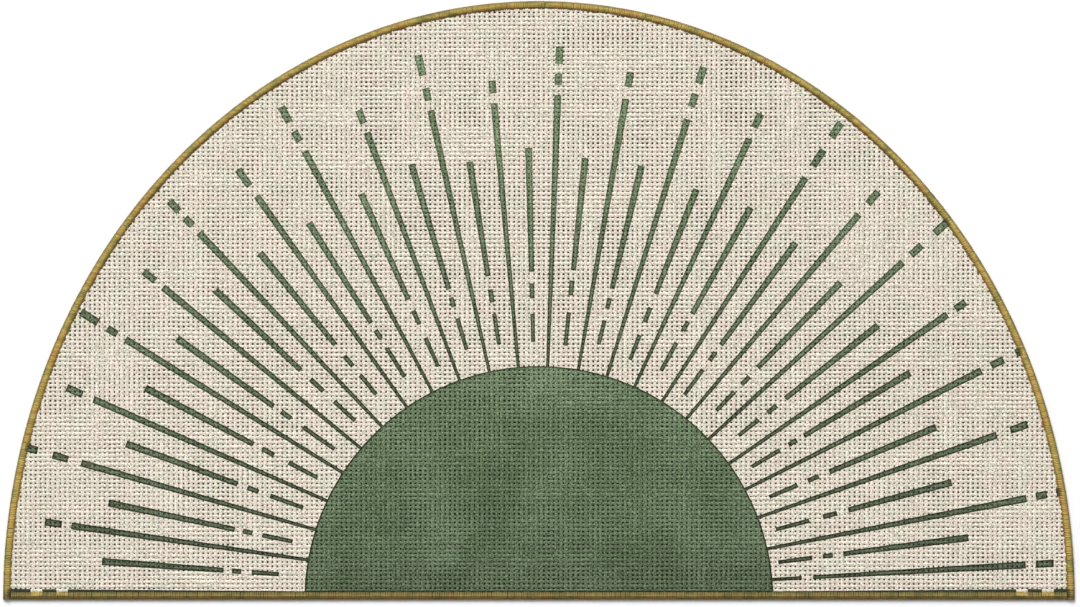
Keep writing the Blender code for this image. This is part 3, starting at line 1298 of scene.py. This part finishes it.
@dataclass(frozen=True)
class Edging:
    """The overlocked edge: a padding cord round the rim, wrapped in rows of close stitches."""

    rim: HalfEllipse
    width: float
    """The mat's outline, and how wide the edging's own solid is."""

    sunburst: Sunburst
    pitch: float = 1.5 * MM
    reach: float = 8.4 * MM
    """How far apart the stitches are, and how far inside the rim they end on top."""

    thread_width: float = 1.7 * MM
    thread_height: float = 1.0 * MM
    thread_corners: tuple[tuple[float, float], ...] = (
        (-0.5, 0.0),
        (-0.25, 0.45),
        (0.25, 0.45),
        (0.5, 0.0),
        (0.25, -0.45),
        (-0.25, -0.45),
    )
    corner_room: float = 1.0 * MM
    """How far from the curve's ends its first and last stitches are."""

    end_jitter: float = 0.25 * MM
    side_jitter: float = 0.12 * MM
    swell_jitter: float = 0.07
    tone_spread: float = 0.10
    padding_span: tuple[float, float] = (0.8 * MM, 4.6 * MM)
    padding_heights: tuple[float, float] = (0.8 * MM, 2.4 * MM)
    """How far inside the rim the cord starts and ends, and the heights of its underside and its top."""

    curve_samples: int = 4001
    cell_length: float = 3.0
    """How many times as long as wide a thread's cell of the baked map is."""

    seed: int = 7
    stitch: tuple[tuple[float, float], ...] = (
        (0.95, 1.00 * MM),
        (0.30, 0.55 * MM),
        (0.09, 1.30 * MM),
        (0.08, 2.30 * MM),
        (0.17, 3.10 * MM),
        (0.37, 3.48 * MM),
        (0.52, 3.30 * MM),
        (0.67, 2.80 * MM),
        (0.83, 2.20 * MM),
        (1.00, 1.00 * MM),
    )
    """One stitch, from the underside round the mat's edge to the top.

    Each point is a share of its reach inwards, and a height.
    """

    def curve_places(self) -> tuple[np.ndarray, np.ndarray]:
        """Even places along the curve.

        Returns:
            The places' x and y, and the directions into the mat.
        """
        fine = self.rim.curve_points(self.curve_samples)
        steps = np.hypot(*np.diff(fine, axis=0).T)
        run = np.concatenate(([0.0], np.cumsum(steps)))
        count = round((run[-1] - 2 * self.corner_room) / self.pitch)
        wanted = np.linspace(self.corner_room, run[-1] - self.corner_room, count)
        places = np.column_stack([np.interp(wanted, run, axis) for axis in fine.T])
        slopes = (self.rim.centre_y - places[:, 1]) / self.rim.rise**2
        inwards = np.column_stack((-places[:, 0] / self.rim.half_width**2, slopes))
        return places, inwards / np.linalg.norm(inwards, axis=1)[:, None]

    def straight_places(self) -> tuple[np.ndarray, np.ndarray]:
        """Even places along the straight edge between the curve's two bands.

        Returns:
            The places' x and y, and the directions into the mat.
        """
        half_run = self.rim.half_width - self.width - self.thread_width / 2
        count = round(2 * half_run / self.pitch)
        across = np.linspace(-half_run, half_run, count)
        inwards = np.tile((0.0, 1.0), (count, 1))
        return np.column_stack((across, np.full(count, self.rim.base_y))), inwards

    def build_stitches(
        self, name: str, node: str, material: bpy.types.Material, places: np.ndarray, inwards: np.ndarray
    ) -> bpy.types.Object:
        """Makes the stitches of one run of the edging.

        Args:
            name: The piece's name.
            node: The CAD run that it stands for.
            material: The yarn.
            places: Where each stitch goes round the edge.
            inwards: The direction into the mat there.

        Returns:
            The piece.
        """
        chance = np.random.default_rng(self.seed)
        count = len(places)
        shift = chance.normal(0, self.side_jitter, count)
        longer = chance.normal(0, self.end_jitter, count)
        swell = 1 + chance.normal(0, self.swell_jitter, count)
        tone = np.clip(chance.normal(MIDDLE_TONE, self.tone_spread, count), 0, 1)
        shares, heights = np.array(self.stitch).T
        runs = []
        for number in range(count):
            depth = shares * self.reach
            depth[[0, -1]] += longer[number]
            sideways = np.array((-inwards[number, 1], inwards[number, 0])) * shift[number]
            flat = places[number] + sideways + depth[:, None] * inwards[number]
            runs.append(np.column_stack((flat, heights, np.full(len(heights), swell[number]))))
        profile = section(self.thread_width, self.thread_height, self.thread_corners)
        piece = yarn_mesh(name, runs, profile, "MINIMUM")
        self.number_threads(piece, count, tone)
        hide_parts(node)
        return dress(piece, material)

    def number_threads(self, piece: bpy.types.Object, count: int, tone: np.ndarray) -> None:
        """Gives each thread its tone, and its own cell of the map that the export bakes through.

        Args:
            piece: The stitches.
            count: How many there are.
            tone: A tone for each, from 0 to 1.
        """
        mesh = piece.data
        sides = len(self.thread_corners)
        capping = 2 * (sides - 2)
        siding = sides * (len(self.stitch) - 1)
        numbers = np.arange(count)
        thread = np.concatenate((np.repeat(numbers[::-1], capping), np.repeat(numbers, siding)))
        tones = mesh.attributes.new(STITCH_TONE, "FLOAT", "FACE")
        tones.data.foreach_set("value", tone[thread].astype(np.float32))
        own = read_all(mesh.uv_layers[0].data, "uv", 2)
        ways = mesh.attributes.new(STITCH_WAY, "FLOAT", "CORNER")
        ways.data.foreach_set("value", own[:, 0].copy())

        of_corner = np.repeat(thread, read_all(mesh.polygons, "loop_total").astype(int))
        rows = math.ceil(math.sqrt(count / self.cell_length))
        columns = math.ceil(count / rows)
        cell = np.column_stack((of_corner % columns + own[:, 1], of_corner // columns + own[:, 0]))
        layer = mesh.uv_layers[0]
        layer.name = BAKE_MAP
        layer.data.foreach_set("uv", (cell / (columns, rows)).astype(np.float32).ravel())

    def build_padding(self, material: bpy.types.Material) -> bpy.types.Object:
        """Makes the cord under the stitches: a closed band round the whole rim.

        Args:
            material: The yarn.

        Returns:
            The piece.
        """
        outer, inner = self.padding_span
        low, high = self.padding_heights
        bm = bmesh.new()
        face = self.rim.inset(outer).face(bm, low)
        band = inner - outer
        bmesh.ops.inset_region(bm, faces=[face], thickness=band, use_boundary=True, use_even_offset=True)
        bmesh.ops.delete(bm, geom=[face], context="FACES")
        close_upwards(bm, high - low)
        padding = mesh_object("edging_padding", bm)
        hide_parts("edging_curved", "edging_straight")
        return dress(padding, material)

    def build(self) -> list[bpy.types.Object]:
        """Makes the padding and both runs of stitches.

        Returns:
            The pieces.
        """
        clean = OverlockYarn().build(self.sunburst)
        straight_yarn = STRAIGHT_RUN_YARN.build(self.sunburst)
        curve, straight = self.curve_places(), self.straight_places()
        return [
            self.build_padding(clean),
            self.build_stitches("edging_stitches_curved", "edging_curved", clean, *curve),
            self.build_stitches("edging_stitches_straight", "edging_straight", straight_yarn, *straight),
        ]


@dataclass(frozen=True)
class Studio:
    """A pale floor, soft light from the upper left, and a camera straight above."""

    image_size: tuple[int, int] = (1080, 607)
    pixel: float = 0.8386 * MM
    mat_middle_px: tuple[float, float] = (538.9, 300.4)
    """The photograph's pixels, what one of them is on the mat, and the place of the mat's middle."""

    lens: float = 120.0
    sensor: float = 36.0
    floor_reach: float = 30.0
    floor_segments: int = 64
    floor_drop: float = 0.1 * MM
    paper: str = "#F9F9F9"
    key_from: tuple[float, float, float] = (-0.28, 0.85, 0.98)
    key_distance: float = 10.0
    key_size: float = 5.2
    key_power: float = 1060.0
    sky_strength: tuple[float, float] = (1.0, 0.34)
    sky_turn: tuple[float, float] = (0.08, 0.45)
    """How far up the sky, as the rise of a direction, its strength turns from the first to the second."""

    def build_floor(self) -> None:
        """Lays the floor: matt photo paper, which gives the eye an even near-white."""
        bm = bmesh.new()
        bmesh.ops.create_circle(bm, cap_ends=True, segments=self.floor_segments, radius=self.floor_reach)
        bmesh.ops.translate(bm, vec=(0, 0, -self.floor_drop), verts=bm.verts)
        floor = mesh_object("floor", bm)
        material, _, shader = new_material("Matt photo paper")
        shader.inputs["Base Color"].default_value = linear(self.paper)
        shader.inputs["Roughness"].default_value = 1.0
        shader.inputs["Specular IOR Level"].default_value = 0.0
        floor.data.materials.append(material)

    def build_lights(self) -> None:
        """Hangs one large soft lamp and lights the sky evenly."""
        lamp = bpy.data.lights.new("soft key", "AREA")
        lamp.size = self.key_size
        lamp.energy = self.key_power
        key = link_object("soft key", lamp)
        towards = Vector(self.key_from).normalized()
        key.location = self.key_distance * towards
        key.rotation_euler = towards.to_track_quat("Z", "Y").to_euler()
        world = bpy.data.worlds.new("even studio light")
        world.use_nodes = True
        tree = world.node_tree
        direction = add_node(tree, "TexCoord").outputs["Generated"]
        height = add_node(tree, "SeparateXYZ", direction).outputs["Z"]
        strength = add_node(tree, "MapRange", height, *self.sky_turn, *self.sky_strength)
        sky = tree.nodes["Background"]
        sky.inputs["Color"].default_value = WHITE
        tree.links.new(strength.outputs[0], sky.inputs["Strength"])
        bpy.context.scene.world = world
        bpy.context.scene.view_settings.view_transform = "Standard"

    def build_camera(self, mat_middle: Vector, mat_top: float) -> None:
        """Sets the camera above the mat, so that the mat fills the image as in the photograph.

        Args:
            mat_middle: The middle of the mat.
            mat_top: The height that is to scale.
        """
        data = bpy.data.cameras.new("camera above")
        data.lens = self.lens
        data.sensor_width = self.sensor
        camera = link_object("camera above", data)
        wide, high = self.image_size
        right = (wide / 2 - self.mat_middle_px[0]) * self.pixel
        down = (high / 2 - self.mat_middle_px[1]) * self.pixel
        away = wide * self.pixel * self.lens / self.sensor
        camera.location = (mat_middle.x + right, mat_middle.y - down, mat_top + away)
        bpy.context.scene.camera = camera

    def build(self, mat_middle: Vector, mat_top: float) -> None:
        """Sets up the whole studio.

        Args:
            mat_middle: The middle of the mat.
            mat_top: The height that is to scale.
        """
        self.build_floor()
        self.build_lights()
        self.build_camera(mat_middle, mat_top)


def main() -> None:
    """Builds the doormat's pieces in order, and reports each."""
    logging.basicConfig(level=logging.INFO, format="%(name)s %(message)s")
    low, high = CAD_BOUNDS
    half_width = (high.x - low.x) / 2
    rim = HalfEllipse(half_width, rise=high.y - low.y, centre_y=low.y, base_y=low.y)
    cloth_low, cloth_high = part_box("cloth_panel")
    band_low, band_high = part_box("edging_straight")
    cloth_rim = rim.inset(cloth_low.y - low.y)

    sunburst = Sunburst()
    cloth = WovenCloth(rim, cloth_rim, cloth_high.z - cloth_low.z, sunburst)
    edging = Edging(rim, band_high.y - band_low.y, sunburst)
    for piece in cloth.build() + edging.build():
        count = sum(len(face.vertices) - 2 for face in piece.data.polygons)
        log.info("%s: %d triangles", piece.name, count)
    Studio().build((low + high) / 2, high.z)


if __name__ == "__main__":
    main()
